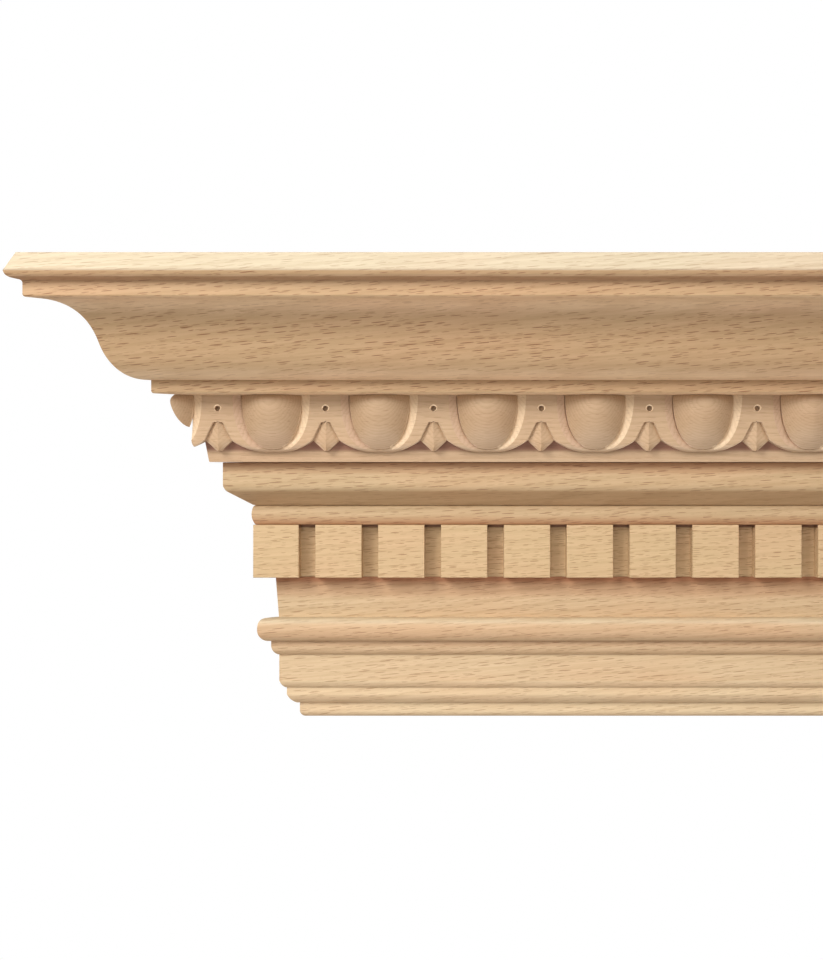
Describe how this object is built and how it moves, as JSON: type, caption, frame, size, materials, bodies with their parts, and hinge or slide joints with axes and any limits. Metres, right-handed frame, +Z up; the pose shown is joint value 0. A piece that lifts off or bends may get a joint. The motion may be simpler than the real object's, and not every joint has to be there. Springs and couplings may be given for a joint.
{
  "type": "cornice moulding section",
  "caption": "Built-up cornice moulding in plain beech: cyma crown, carved egg-and-dart strip, bed mould, dentil strip, frieze and stepped architrave; mitred left end, square right end.",
  "frame": {"origin": "middle of the flat back, at half the height, on the face that lies against the wall or carcase", "axes": "+X along the moulding to its square end, -Y out of the wall through the carved front, +Z up"},
  "size_m": [0.2529, 0.0885, 0.1402],
  "materials": {
    "crown_beech": "planed and sanded beech, bare, tan with long dark flecks",
    "carved_beech": "carved beech, bare, fine pale grain with growth rings on the eggs",
    "bed_beech": "planed and sanded beech, bare, tan with long dark flecks",
    "dentil_beech": "planed and sanded beech, bare, pale yellow with short flecks",
    "architrave_beech": "planed and sanded beech, bare, pale with short dark flecks"
  },
  "bodies": {
    "root": {"crown_moulding": "crown_beech", "egg_and_dart_strip": "carved_beech", "bed_moulding": "bed_beech", "dentil_strip": "dentil_beech", "frieze_and_architrave": "architrave_beech"}
  },
  "joints": []
}
